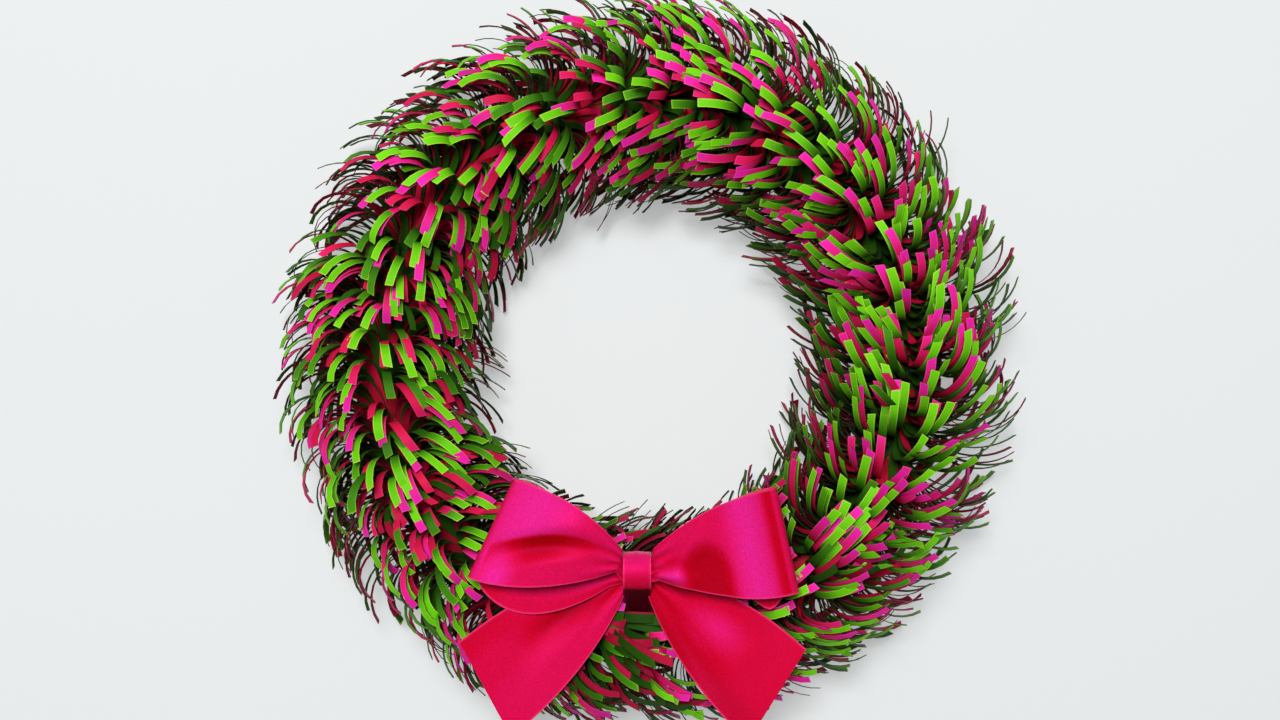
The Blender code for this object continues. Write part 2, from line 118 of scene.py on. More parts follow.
# How far strips stray: the phase and height of a wave that neighbours share, and each one's own
# part, both in degrees
STRAYS = {"lean": (0, 13, 8), "tip_lean": (31, 26, 21), "sway": (83, 18, 14), "twist": (113, 13, 10)}
CURL_PHASE = 57
CURL_STRAY = 0.2
WAVE_ROUND_CORE = 1.9
WAVE_ALONG_HOOP = 4.6
WAVE_GAIN = 1.6
ROOT_SCATTER = 0.003
STRIP_SCATTER = 0.2
PRESSED_BEHIND = (0.2, 0.9)

# How a strip that lies close under another may differ from it
UNDER_ASIDE = 0.045
UNDER_LEAN = radians(4)
UNDER_TIP_LEAN = radians(12)
UNDER_SWAY = radians(7)
UNDER_LENGTH = 0.006
UNDER_LENGTHS = (-1, 0.8)
UNDER_TONE = 0.8

# Shorter strips that fill the front between one fan and the next
FILLERS = 11
FILLER_SIDES = (radians(15), radians(165))
FILLER_PLACE = 0.0085
FILLER_LENGTH = 0.047
# Fillers are painted darker, more so on the wreath's left: painted shade.
FILLER_PALENESS = 0.88
FILLER_SHADE_LEFT = 0.24

# Strips hook back on the wreath's left, and lean apart from its front's middle line
HOOK_MIDDLE = 0.55
HOOK_SWING = 0.6
HOOK_TURN = radians(5)
HOOK_ROOT = radians(14)
HOOK_ROOT_LEFT = radians(17)
HOOK_TIP_LEFT = radians(26)
HOOK_CURL_LEFT = 0.9
PARTING = radians(15)
PARTING_LEFT = radians(16)
PARTING_WIDTH = radians(28)

# Tones of the strips, and painted shade beside and behind the core. The fades are counted in how far a
# side faces the front or the wall.
TONE_STEP = 0.14
FLANK_SHADE_TONE = -2.6
FLANK_SHADE_PALENESS = 0.72
FLANK_FADE = (0.08, 0.80)
INNER_SHADE_REACH = 0.7
INNER_SHADE_DEPTH = 0.35
BEHIND_FADE = (0.3, 0.9)
BEHIND_LIGHTER = 0.55
DULL_SHARE = 0.06
DULL_SHARE_LEFT = 0.12
DULL_PALENESS = 0.72

# Extra pairs of strips beside the strap and the bow. Each row has the turn of its root, leans at
# root and tip, first and last side of the core, all in degrees, how many pairs there are and their
# length. The leans stray by degrees as well.
COVERS = (
    (-102, 22, 106, 92, 108, 7, 0.055),
    (-98, -6, 96, 84, 113, 10, 0.061),
    (-97.5, -12, 102, 64, 100, 7, 0.050),
    (-97, 12, 84, -30, 70, 8, 0.056),
    (-97, 10, 84, 120, 215, 13, 0.052),
    (-97.6, -8, 74, 140, 205, 10, 0.056),
    (-86.5, -45, 60, 140, 205, 10, 0.055),
    (-103, -16, 92, 4, 66, 7, 0.054),
    (-106.5, 6, 80, -24, 48, 8, 0.058),
    (-104, 32, 90, 0, 76, 9, 0.046),
    (-108, -12, 90, 2, 60, 7, 0.054),
    (-86, -62, 78, -30, 80, 9, 0.056),
    (-86, -72, 64, 56, 114, 8, 0.050),
    (-142, -66, 104, 56, 124, 8, 0.050),
    (-136, -70, 104, 60, 120, 8, 0.048),
    (-50, -30, 84, 30, 100, 8, 0.050),
    (-45.5, -34, 86, 50, 112, 7, 0.050),
)
COVER_SCATTER = 0.6
COVER_LEAN = 16
COVER_TIP_LEAN = 30
COVER_SWAY = radians(24)
# Covers are darkened at random by painted shade, as under the bow and beside the strap.
COVER_SHADE = (0.12, 0.75)
COVER_PALENESS = 0.45
COVER_TONE = 2.2
PAIR_GAP = 0.0006
PAIR_LEAN = radians(3)

# Room for the strips: they lie flatter at the wall, and at the bow they are pushed aside, curled up
# more tightly or cut shorter
WALL_DEPTH = 0.0285
FACING_WALL = 0.01
LIMIT_SOFTNESS = 6
WALL_CLEARANCE = 0.0002
LOWERING_TRIES = 30
LOWERED_LEAN = radians(5)
LOWERED_LENGTH = 0.001
LOWERED_SWAY = 0.9
BOW_BACK_DEPTH = 0.0385
PUSHES_ASIDE = (radians(-10), radians(10))
CURLING_TRIES = 12
CURLED_LEAN = radians(5)
CURLED_LEAST_LEAN = radians(-84)
CURLED_TIP_LEAN = radians(3)
CURLED_LENGTH = 0.0009
CUT_SHORTER = 0.003
SHORTEST_STRIP = 0.015
STRAP_ROOM_ASIDE = 0.0006
STRAP_ROOM_AT_CORE = 0.0022
STRAP_ROOM_AT_KNOT = 0.001

# Bow, as in the solids
RIBBON_WIDTH = 0.051
HALF_RIBBON = RIBBON_WIDTH / 2
RIBBON_THICKNESS = 0.0004
KNOT = RING_CENTRE + Vector((-0.0044, -0.0430, 0.0292 - HOOP_RADIUS))
KNOT_RADIUS = 0.0083
FOLD_RADIUS = 0.0045
LOOP_LIFT = 0.0095
LIFT_POWER = 0.8
LIFT_LESS_BELOW = 0.45
TAIL_FORWARD = 0.006
TAIL_FORWARD_POWER = 4
TAIL_SKEW = radians(9)
LAYER_GAP = 0.0005
BOW_GAP = 0.0015
LOOP_BEND = (0.4, 0.9)
TAIL_BEND = (0.3, 0.64)
FRONT_TOP_SPREAD = 2.5
FRONT_LOW_SPREAD = 1.7
BACK_TOP_SPREAD = 1.7
TAIL_TOP_SPREAD = 2.4
TAIL_LOW_SPREAD = 2.1
LEFT_BACK_SAG = 0.0115
LEFT_SAG_POWERS = (1.3, 0.7)
RIGHT_BACK_SAG = 0.0068
RIGHT_SAG_PLACE = (0.83, 0.17)
# Measures of the bow's left and right side
SIDE_MEASURES = {
    "name": ("left", "right"),
    "way": (-1, 1),
    "loop_angle": (radians(163.1), radians(12.2)),
    "loop_reach": (0.0678, 0.0684),
    "front_top": (0.0060, 0.0072),
    "front_low": (-0.0002, -0.0040),
    "back_low": (-0.0062, -0.0045),
    "back_spread": (2.6, 1.7),
    "fold_skew": (radians(8.3), 0.0),
    "fold_sheen": (0.30, 0.34),
    "fold_swing": (0.50, 0.24),
    "tail_angle": (radians(217.8), radians(318.6)),
    "tail_reach": (0.0910, 0.0884),
}
LEFT, RIGHT = ({key: pair[i] for key, pair in SIDE_MEASURES.items()} for i in (0, 1))

# The ribbons are gathered at the knot. A gather has its height in pleats, the share of the ribbon
# at which it has faded, and the painted sheen that it takes: painted shade in its hollows, painted light
# on its ridges.
PLEATS = 3
PLEAT_DEPTH = 0.0014
PINCH_ANGLE = radians(58)
PINCH_TURN = 1.6
FLAT_PINCH_HEIGHT = 0.75
FRONT_PINCH_SHEEN = 0.4
FLAT_PINCH_SHEEN = 0.3
TAIL_PINCH_TOP = 0.5
TAIL_PINCH_LOW = 0.35
FRONT_GATHER = (0.9, 0.42, 0.14)
BACK_GATHER = (0.45, 0.55, 0.0)
TAIL_GATHER = (0.5, 0.5, 0.12)
COLUMNS = 44
ACROSS = [column / COLUMNS for column in range(COLUMNS + 1)]
FRONT_STEPS = 44
FOLD_STEPS = 9
BACK_STEPS = 26
TAIL_STEPS = 40
FIRST_ROW = 0.04
LOOP_ROW_POWER = 1.15
TAIL_ROW_POWER = 1.1
TAIL_DENT_POWER = 6

# Painted lights and shades of the satin: the painted sheen of the ground, then patches. A patch has its
# shape along the ribbon from the knot and across it from the upper edge, how far it drifts down on the
# way, how deep it is pressed in and what it adds to the painted sheen. A shape is a hump (middle,
# width), a rise or a fall (from, to), or None where it is even.
PATCHES = {
    "left_crest": (0, (
        (("hump", 0.64, 0.56), ("hump", 0.13, 0.24), 0, 0.0030, 0),
        (("hump", 0.64, 0.56), ("hump", -0.10, 0.26), 0, -0.0018, 0),
    )),
    "left_above_crest": (0.58, ((("hump", 0.80, 0.50), None, 0, 0, 0.34),)),
    "left_below_crest": (0.54, ((("hump", 0.90, 0.20), ("rise", 0.5, 0.75), 0, 0, 0.42),)),
    "right_loop": (0.54, (
        (("hump", 0.17, 0.16), ("hump", 0.78, 0.22), 0, -0.0012, 0.34),
        (("hump", 0.16, 0.16), ("hump", 0.50, 0.14), 0, 0.0008, -0.22),
        (("hump", 0.78, 0.25), None, 0, -0.0008, 0.36),
        (("rise", 0.90, 0.98), None, 0, 0, -0.34),
    )),
    "loop_back": (0.42, (
        (("rise", 0.75, 1.0), None, 0, 0, -0.25),
        (None, ("hump", 0.72, 0.2), 0, 0, 0.12),
    )),
    "left_tail": (0.42, (
        (("hump", 0.45, 0.45), ("hump", 0.36, 0.30), 0.10, 0.0022, 0),
        (("hump", 0.38, 0.36), ("hump", 0.32, 0.22), 0.10, 0, -0.40),
        (("fall", 0.15, 0.50), ("fall", 0.45, 0.8), 0, 0, -0.34),
        (None, ("rise", 0.45, 0.7), 0, 0, 0.08),
        (("rise", 0.4, 0.8), ("fall", 0.02, 0.3), 0, 0, -0.14),
    )),
    "right_tail": (0.30, (
        (("hump", 0.4, 0.5), ("hump", 0.78, 0.26), 0.12, 0.0020, 0),
        (("hump", 0.50, 0.30), ("hump", 0.40, 0.30), 0, 0, 0.40),
        (("hump", 0.42, 0.24), ("hump", 0.62, 0.10), 0.12, 0, 0.14),
        (None, ("rise", 0.66, 0.9), 0, 0, -0.16),
    )),
}
# The left loop's crest with its painted shadow, with places counted from it, and the right loop's broad
# hollow with its painted shade
CREST_START = 0.27
CREST_DROP = 0.35
CREST_POWER = 2.2
CREST_STEP = (-0.04, 0.03)
SHADOW_START = (-0.03, 0.035)
SHADOW_END = (0.05, 0.42)
SHADOW_MIDDLE = (0.64, 0.56)
SHADOW_SHADE = 0.62
HOLLOW_MIDDLE = (0.42, 0.76)
HOLLOW_SIZE = (0.215, 0.46)
HOLLOW_FADE = (0.45, 1.08)
HOLLOW_DEPTH = 0.0032
HOLLOW_SHADE = 0.46

# Strap round the knot and the hoop, with painted sheen on top of the knot and painted deep shade on the
# rest
STRAP_WIDTH = 0.0132
STRAP_THICKNESS = 0.0006
STRAP_GAP = 0.0003
STRAP_CROWN = 0.0004
STRAP_STEPS = 26
STRAP_COLUMNS = 12
STRAP_SHEEN = 0.42
STRAP_SHEEN_ABOVE = 0.28
STRAP_SHEEN_RISE = (-0.7, 0.8)
STRAP_LIT_PAST_KNOT = 0.0026
DEEP_SHADE = -1.0
CORE_BOW = HOOP_RADIUS - sqrt(HOOP_RADIUS**2 - (STRAP_WIDTH / 2 + abs(KNOT.x)) ** 2)
STRAP_CORE_RADIUS = CORE_RADIUS + STRAP_GAP + CORE_BOW
PINCH_ROOM = KNOT_RADIUS - STRAP_GAP - RIBBON_THICKNESS / 2
PINCH_ASIDE = STRAP_WIDTH / 2 + STRAP_GAP
FRONT_PLEATS = (PINCH_ROOM - 2 * PLEAT_DEPTH) * cos(PINCH_ANGLE)
BACK_DEPTH = KNOT.y - FRONT_PLEATS + RIBBON_THICKNESS + LAYER_GAP + PLEAT_DEPTH / 2

# Finishes. A grain has its scale, detail, strength and relief.
PAPER_GRAIN = (900, 3, 0.25, 0.00015)
PAPER_MOTTLE = 0.3
EDGE_LINE = (0.76, 0.90)
END_LINE = (0.00025, 0.00055)
EDGE_FADE = (0.50, 0.88)
CARD_GRAIN = (500, 3, 0.4, 0.0003)
SATIN_GRAIN = (1250, 2, 0.2, 0.0001)
SATIN_SPARKLE = 0.7
SATIN_GROUND = 0.65
SATIN_IN_SHADE = 0.84
SELVEDGE_COLOUR = (0.86, 0.04, 0.17)
PAPER_SHARP_ANGLE = radians(40)
SATIN_SHARP_ANGLE = radians(50)
CARD_SHARP_ANGLE = radians(60)

# Camera and studio. A lamp has its name, place, size and power.
CAMERA_DISTANCE = 0.9
CAMERA_ASIDE = -0.003
FRAME_WIDTH_AT_RING = 0.64
SENSOR_WIDTH = 36.0
WALL_GAP = 0.0005
WALL_SIZE = 8.0
WALL_COLOUR = (0.842, 0.866, 0.872)
WALL_GLOW = (0.82, 0.85, 0.85)
WALL_GLOW_SHARE = 0.45
LAMPS = (
    ("back_fill", (0.4, 2.4, 0.7), 1.2, 20),
    ("key", (-0.22, -2.4, 0.55), 0.8, 59),
)
WORLD_STRENGTH = 0.13


def clamp(value, low=0.0, high=1.0):
    return max(low, min(high, value))


def smooth(value, low, high):
    """0 below low, 1 above high and a soft step between them."""
    share = clamp((value - low) / (high - low))
    return share * share * (3 - 2 * share)


def bump(value, centre, width):
    """A soft hump of height 1 at centre, gone at a width to either side."""
    return smooth(1 - abs(value - centre) / width, 0, 1)


def add_object(name, data):
    made = bpy.data.objects.new(name, data)
    bpy.context.scene.collection.objects.link(made)
    return made


# Materials


def fill(node, inputs):
    """Puts numbers, colours or outputs into a node's inputs."""
    for key, value in inputs.items():
        if isinstance(value, (int, float)):
            node.inputs[key].default_value = value
        elif isinstance(value, tuple):
            node.inputs[key].default_value = (*value, 1)
        else:
            node.id_data.links.new(value, node.inputs[key])


def add_node(tree, kind, inputs=None, **settings):
    node = tree.nodes.new("ShaderNode" + kind)
    for key, value in settings.items():
        setattr(node, key, value)
    fill(node, inputs or {})
    return node


def maths(tree, operation, *values, clamped=False):
    inputs = dict(enumerate(values))
    node = add_node(tree, "Math", inputs, operation=operation, use_clamp=clamped)
    return node.outputs[0]


def mix_colours(tree, factor, first, second):
    inputs = {0: factor, 6: first, 7: second}
    return add_node(tree, "Mix", inputs, data_type="RGBA").outputs[2]


def mix_shaders(tree, factor, first, second):
    inputs = {0: factor, 1: first.outputs[0], 2: second.outputs[0]}
    return add_node(tree, "MixShader", inputs)


def attribute(tree, name):
    return add_node(tree, "Attribute", attribute_name=name).outputs["Fac"]


def ramp(tree, factor, stops):
    node = add_node(tree, "ValToRGB", {0: factor})
    elements = node.color_ramp.elements
    while len(elements) < len(stops):
        elements.new(0.5)
    for element, (place, colour) in zip(elements, stops):
        element.position = place
        element.color = (*colour, 1)
    return node.outputs[0]


def new_material(name):
    made = bpy.data.materials.new(name)
    made.use_nodes = True
    return made, made.node_tree, made.node_tree.nodes["Principled BSDF"]


def grain(tree, shader, scale, detail, strength, depth):
    """Fine surface relief from noise, fixed to the object."""
    place = add_node(tree, "TexCoord").outputs["Object"]
    texture = {"Vector": place, "Scale": scale, "Detail": detail}
    height = add_node(tree, "TexNoise", texture).outputs["Fac"]
    relief = {"Height": height, "Strength": strength, "Distance": depth}
    fill(shader, {"Normal": add_node(tree, "Bump", relief).outputs["Normal"]})
    return height


def step_down(tree, value, near, far):
    """1 where a value is below near, 0 above far."""
    inputs = {"Value": value, "From Min": near, "From Max": far, "To Min": 1, "To Max": 0}
    return add_node(tree, "MapRange", inputs, interpolation_type="SMOOTHSTEP").outputs[0]


def lightened(tree, colour, lightness):
    inputs = {"Value": lightness, "Color": colour}
    return add_node(tree, "HueSaturation", inputs).outputs[0]


def varied(tree, colour, value, spread):
    """Lightens and darkens a colour by a value from -1 to 1."""
    return lightened(tree, colour, maths(tree, "MULTIPLY_ADD", value, spread, 1.0))


def paper_material(name, stops, edge_colour, edge_strength, rim_shade_colour):
    """Coloured paper with painted shade deepening towards each strip's root and on its narrow rim faces,
    and light lines along its cut edges.
    """
    made, tree, shader = new_material(name)
    along = attribute(tree, "along")
    # The ramp along each strip is painted shade, darkest at the root.
    colour = varied(tree, ramp(tree, along, stops), attribute(tree, "tone"), TONE_STEP)
    centred = maths(tree, "SUBTRACT", grain(tree, shader, *PAPER_GRAIN), 0.5)
    colour = varied(tree, colour, centred, PAPER_MOTTLE)
    aside = maths(tree, "ABSOLUTE", attribute(tree, "across"))
    at_side = maths(tree, "SUBTRACT", 1.0, step_down(tree, aside, *EDGE_LINE))
    at_end = step_down(tree, attribute(tree, "to_tip"), *END_LINE)
    at_edge = maths(tree, "MAXIMUM", at_side, at_end)
    towards_tip = maths(tree, "SUBTRACT", 1.0, step_down(tree, along, *EDGE_FADE))
    strength = maths(tree, "MULTIPLY", towards_tip, edge_strength)
    strength = maths(tree, "MULTIPLY", at_edge, strength)
    colour = mix_colours(tree, strength, colour, edge_colour)
    # The narrow rim faces take a dark colour: painted shade.
    colour = mix_colours(tree, attribute(tree, "rim"), colour, rim_shade_colour)
    fill(shader, {"Base Color": colour, "Roughness": 0.62, "Specular IOR Level": 0.12})
    return made


def green_paper():
    return paper_material(
        "green_paper",
        # Darker towards the root: painted shade.
        stops=(
            (0.0, (0.013, 0.048, 0.003)),
            (0.50, (0.027, 0.120, 0.003)),
            (0.68, (0.062, 0.290, 0.004)),
            (0.81, (0.138, 0.590, 0.005)),
            (1.0, (0.190, 0.740, 0.006)),
        ),
        edge_colour=(0.52, 0.82, 0.06),
        edge_strength=0.80,
        # Nearly black green on the rims: painted shade.
        rim_shade_colour=(0.030, 0.045, 0.010),
    )


def pink_paper():
    return paper_material(
        "pink_paper",
        # Deeper crimson towards the root and magenta at the tip: painted shade.
        stops=(
            (0.0, (0.330, 0.008, 0.017)),
            (0.28, (0.600, 0.008, 0.044)),
            (0.60, (0.735, 0.009, 0.076)),
            (0.80, (0.850, 0.012, 0.185)),
            (1.0, (0.930, 0.016, 0.460)),
        ),
        edge_colour=(0.94, 0.16, 0.36),
        edge_strength=0.40,
        # Dark maroon on the rims: painted shade.
        rim_shade_colour=(0.085, 0.006, 0.018),
    )


def satin_material():
    """Satin ribbon: a red ground with a painted magenta sheen where its threads would lie towards the
    light.
    Below zero the painted sheen stands for painted shade, as deep in the fringe."""
    made, tree, shader = new_material("satin_ribbon")
    sheen = attribute(tree, "sheen")
    # Dark red to magenta by the painted sheen.
    stops = (
        (0.0, (0.41, 0.0005, 0.002)),
        (0.35, (0.65, 0.001, 0.022)),
        (0.62, (0.77, 0.006, 0.105)),
        (1.0, (0.86, 0.020, 0.320)),
    )
    selvedge = attribute(tree, "selvedge")
    colour = mix_colours(tree, selvedge, ramp(tree, sheen, stops), SELVEDGE_COLOUR)
    # Sparkle: fine noise bumps the satin and lightens and darkens its colour, partly the weave's grain
    # and partly painted glints.
    sparkle = grain(tree, shader, *SATIN_GRAIN)
    lightness = maths(tree, "MULTIPLY_ADD", sparkle, SATIN_SPARKLE, SATIN_GROUND)
    shade = maths(tree, "MULTIPLY_ADD", sheen, SATIN_IN_SHADE, 1.0, clamped=True)
    lightness = maths(tree, "MULTIPLY", lightness, shade)
    finish = {
        "Base Color": lightened(tree, colour, lightness),
        "Roughness": 0.46,
        "Specular IOR Level": 0.38,
        "Specular Tint": (1.0, 0.04, 0.40),
        "Sheen Weight": 0.05,
        "Sheen Roughness": 0.4,
        "Sheen Tint": (1.0, 0.04, 0.5),
    }
    fill(shader, finish)
    return made


def card_material():
    made, tree, shader = new_material("core_card")
    stops = ((0.3, (0.42, 0.31, 0.19)), (0.7, (0.62, 0.49, 0.33)))
    colour = ramp(tree, grain(tree, shader, *CARD_GRAIN), stops)
    fill(shader, {"Base Color": colour, "Roughness": 0.9})
    return made


def wall_material():
    """A pale painted wall, clear from behind and to the light behind it, so that the back is seen.
    To the camera it is partly self-lit, which keeps the wreath's shadow on it faint."""
    made, tree, shader = new_material("wall")
    fill(shader, {"Base Color": WALL_COLOUR, "Roughness": 0.9, "Specular IOR Level": 0.1})
    glow = add_node(tree, "Emission", {"Color": WALL_GLOW})
    clear = add_node(tree, "BsdfTransparent")
    rays = add_node(tree, "LightPath").outputs
    from_behind = add_node(tree, "NewGeometry").outputs["Backfacing"]
    glow_share = maths(tree, "MULTIPLY", rays["Is Camera Ray"], WALL_GLOW_SHARE)
    clear_share = maths(tree, "MAXIMUM", from_behind, rays["Is Shadow Ray"])
    seen = mix_shaders(tree, glow_share, shader, glow)
    both = mix_shaders(tree, clear_share, seen, clear)
    fill(tree.nodes["Material Output"], {"Surface": both.outputs[0]})
    return made


# Meshes


class MeshParts:
    """Points, faces and point attributes of one piece as it grows."""

    def __init__(self, *attributes):
        self.points = []
        self.faces = []
        self.rims = []
        self.values = {name: [] for name in attributes}

    def add_point(self, place, **values):
        self.points.append(place)
        for name, rows in self.values.items():
            rows.append(values[name])
        return len(self.points) - 1

    def add_face(self, corners, rim=0):
        self.faces.append(tuple(corners))
        self.rims.append(float(rim))

    def add_quads(self, first, second, flipped=False):
        """Faces between two rows of points, turned over when flipped."""
        for a, b, c, d in zip(first, second, second[1:], first[1:]):
            self.add_face((a, d, c, b) if flipped else (a, b, c, d))

    def finish(self, name, finish, sharp_angle):
        mesh = bpy.data.meshes.new(name)
        mesh.from_pydata([tuple(point) for point in self.points], [], self.faces)
        for key, rows in self.values.items():
            layer = mesh.attributes.new(key, "FLOAT", "POINT")
            layer.data.foreach_set("value", rows)
        mesh.attributes.new("rim", "FLOAT", "FACE").data.foreach_set("value", self.rims)
        mesh.materials.append(finish)
        mesh.shade_smooth()
        mesh.set_sharp_from_angle(angle=sharp_angle)
        return add_object(name, mesh)


def ring_axes(turn, side):
    """Unit vectors away from the core, along the hoop and round the core."""
    right, up = cos(turn), sin(turn)
    outward, forward = cos(side), sin(side)
    away = Vector((outward * right, -forward, outward * up))
    ahead = Vector((-up, 0, right))
    around = Vector((-forward * right, -outward, -forward * up))
    return away, ahead, around


def ring_point(turn, reach, side):
    """side 0 points away from the ring's centre, 90 degrees to the front and 180 into the hole."""
    away, _, _ = ring_axes(turn, side)
    return RING_CENTRE + Vector((cos(turn), 0, sin(turn))) * HOOP_RADIUS + away * reach


# Fringe


def lean_at(share, root, tip, curl):
    """The lean of a strip at a share of its length."""
    return root + (tip - root) * share**curl


def climb(root, tip, length):
    """How far a strip rises from its root."""
    rise = 0.0
    for step in range(STRIP_STEPS):
        rise += cos(lean_at((step + 0.5) / STRIP_STEPS, root, tip, CURL_POWER))
    return rise * length / STRIP_STEPS


@cache
def lean_below(most_reach):
    """The least lean at the root that keeps a whole strip below this reach."""
    low, high = LEAN_AT_ROOT, LEAN_AT_TIP
    for _ in range(LEAN_HALVINGS):
        middle = (low + high) / 2
        if ROOT_REACH + climb(middle, LEAN_AT_TIP, CUT_LENGTH) > most_reach:
            low = middle
        else:
            high = middle
    return (low + high) / 2


def root_lean(side):
    """The lean at the root for a side of the core, less steep towards the wall."""
    reach = ROOT_REACH + climb(LEAN_AT_ROOT, LEAN_AT_TIP, CUT_LENGTH)
    towards_wall = -sin(side)
    if towards_wall > FACING_WALL:
        limit = WALL_DEPTH / towards_wall
        reach = (reach**-LIMIT_SOFTNESS + limit**-LIMIT_SOFTNESS) ** (-1 / LIMIT_SOFTNESS)
    return lean_below(round(reach, 4))


def wave(side, turn, phase):
    """A smooth wandering value from -1 to 1 that neighbouring strips share."""
    x = WAVE_ROUND_CORE * cos(side) + phase
    y = WAVE_ROUND_CORE * sin(side)
    return clamp(WAVE_GAIN * noise.noise(Vector((x, y, turn * WAVE_ALONG_HOOP))), -1, 1)


def swing(most=1.0):
    """A random value up to most to either side."""
    return most * CHANCE.uniform(-1, 1)


def stray(kind, side, turn):
    """How far a strip strays in one way, mostly together with its neighbours."""
    phase, shared, own = STRAYS[kind]
    return radians(shared) * wave(side, turn, phase) + swing(radians(own))


def strip_course(strip):
    """(turn, reach, side, lean) at each step along a strip."""
    turn, reach, side = strip["turn"], ROOT_REACH, strip["side"]
    leans = strip["lean"], strip["tip_lean"], strip["curl"]
    step = strip["length"] / STRIP_STEPS
    course = []
    for k in range(STRIP_STEPS + 1):
        share = k / STRIP_STEPS
        course.append((turn, reach, side, lean_at(share, *leans)))
        middle = lean_at(share + 0.5 / STRIP_STEPS, *leans)
        around = HOOP_RADIUS + reach * cos(side)
        turn += sin(middle) * step / around
        reach += cos(middle) * step
        side += strip["sway"] * share / STRIP_STEPS
    return course


def add_strip(parts, strip, course):
    """A strip as a closed thin solid. Its two narrow sides and its cut end are rim faces."""
    half_width = strip["width"] / 2
    half = PAPER_THICKNESS / 2
    before = None
    last = len(course) - 1
    for k, (turn, reach, side, lean) in enumerate(course):
        away, ahead, around = ring_axes(turn, side)
        centre = ring_point(turn, reach, side)
        tangent = away * cos(lean) + ahead * sin(lean)
        normal = tangent.cross(around)
        roll = strip["roll"] + strip["twist"] * k / last
        across = around * cos(roll) + normal * sin(roll)
        out = tangent.cross(across)
        row = []
        for way, face in ((-1, 1), (1, 1), (1, -1), (-1, -1)):
            place = centre + across * half_width * way + out * half * face
            if k == last:
                place += tangent * strip["slant"] * way
            # along, scaled by paleness, places each point on the paper's ramp of painted shade.
            point = parts.add_point(
                place,
                along=k / last * strip["paleness"],
                across=float(way),
                to_tip=strip["length"] * (1 - k / last),
                tone=strip["tone"],
            )
            row.append(point)
        if before:
            for a in range(4):
                b = (a + 1) % 4
                parts.add_face((before[a], before[b], row[b], row[a]), a % 2)
        else:
            parts.add_face(row[::-1], 1)
        before = row
    parts.add_face(before, 1)


def inside_outline(x, z, outline):
    inside = False
    for (x1, z1), (x2, z2) in zip(outline, outline[1:] + outline[:1]):
        if (z1 > z) != (z2 > z) and x < x1 + (z - z1) / (z2 - z1) * (x2 - x1):
            inside = not inside
    return inside


def axes_of(angle):
    """Unit vectors along an angle of the bow's plane and across it, on its upper side."""
    along = Vector((cos(angle), 0, sin(angle)))
    across = Vector((-sin(angle), 0, cos(angle)))
    if cos(angle) < 0:
        across.negate()
    return along, across


def side_outline(side):
    """Outline of one side of the bow from the front, as (x, z)."""
    loop_axis, loop_up = axes_of(side["loop_angle"])
    tail_axis, tail_up = axes_of(side["tail_angle"])
    half = HALF_RIBBON + BOW_GAP
    reach = side["loop_reach"] + FOLD_RADIUS + BOW_GAP
    tail_reach = side["tail_reach"] + half * tan(TAIL_SKEW) + BOW_GAP
    corners = [
        KNOT + loop_up * (KNOT_RADIUS + BOW_GAP) - loop_axis * BOW_GAP,
        KNOT + loop_axis * reach * LOOP_BEND[0] + loop_up * half * LOOP_BEND[1],
        KNOT + loop_axis * reach + loop_up * half,
        KNOT + loop_axis * reach - loop_up * half,
        KNOT + tail_axis * tail_reach + tail_up * half,
        KNOT + tail_axis * tail_reach - tail_up * half,
        KNOT + tail_axis * tail_reach * TAIL_BEND[0] - tail_up * half * TAIL_BEND[1],
        KNOT - Vector((0, 0, KNOT_RADIUS + BOW_GAP)),
    ]
    return [(corner.x, corner.z) for corner in corners]


BOW_OUTLINES = [side_outline(side) for side in (LEFT, RIGHT)]


def in_bow(point, half_width):
    """Whether a point of a strip stands in the bow or its strap."""
    if abs(point.x - KNOT.x) < STRAP_WIDTH / 2 + STRAP_ROOM_ASIDE + half_width:
        foot = Vector((0, RING_CENTRE.z - HOOP_RADIUS))
        here = Vector((point.y, point.z))
        run = Vector((KNOT.y, KNOT.z)) - foot
        share = clamp((here - foot).dot(run) / run.length_squared)
        at_core = CORE_RADIUS + STRAP_ROOM_AT_CORE
        at_knot = KNOT_RADIUS + STRAP_ROOM_AT_KNOT
        if (here - foot - run * share).length < at_core + (at_knot - at_core) * share:
            return True
    if point.y > -BOW_BACK_DEPTH:
        return False
    return any(inside_outline(point.x, point.z, outline) for outline in BOW_OUTLINES)


def meets_bow(course, half_width):
    return any(in_bow(ring_point(*place[:3]), half_width) for place in course)


def forms_at_bow(strip):
    """The strip as it is, pushed aside, curled up more and more, and then cut shorter."""
    yield strip
    for push in PUSHES_ASIDE:
        yield dict(strip, side=strip["side"] + push / 2, sway=strip["sway"] + push)
    for _ in range(CURLING_TRIES):
        strip["lean"] = max(strip["lean"] - CURLED_LEAN, CURLED_LEAST_LEAN)
        strip["tip_lean"] += CURLED_TIP_LEAN
        strip["length"] -= CURLED_LENGTH
        yield strip
    while strip["length"] > SHORTEST_STRIP:
        strip["length"] -= CUT_SHORTER
        yield strip


def fit_to_bow(strip):
    """The course of the strip's first form that keeps clear of the bow."""
    for form in forms_at_bow(strip):
        course = strip_course(form)
        if not meets_bow(course, strip["width"] / 2):
            strip.update(form)
            return course
    return None


def clear_of_wall(strip, course):
    """The strip's course, laid lower where it would run into the wall."""
    limit = CAD_HIGH.y - WALL_CLEARANCE
    for _ in range(LOWERING_TRIES):
        deepest = 0.0
        for turn, reach, side, _ in course:
            edge = strip["width"] / 2 * abs(cos(side)) + WALL_CLEARANCE
            deepest = max(deepest, ring_point(turn, reach, side).y + edge)
        if deepest < limit:
            return course
        strip["lean"] = min(strip["lean"] + LOWERED_LEAN, LEAN_AT_TIP)
        strip["tip_lean"] = min(strip["tip_lean"], LEAN_AT_TIP)
        strip["length"] -= LOWERED_LENGTH
        strip["sway"] *= LOWERED_SWAY
        course = strip_course(strip)
    return course


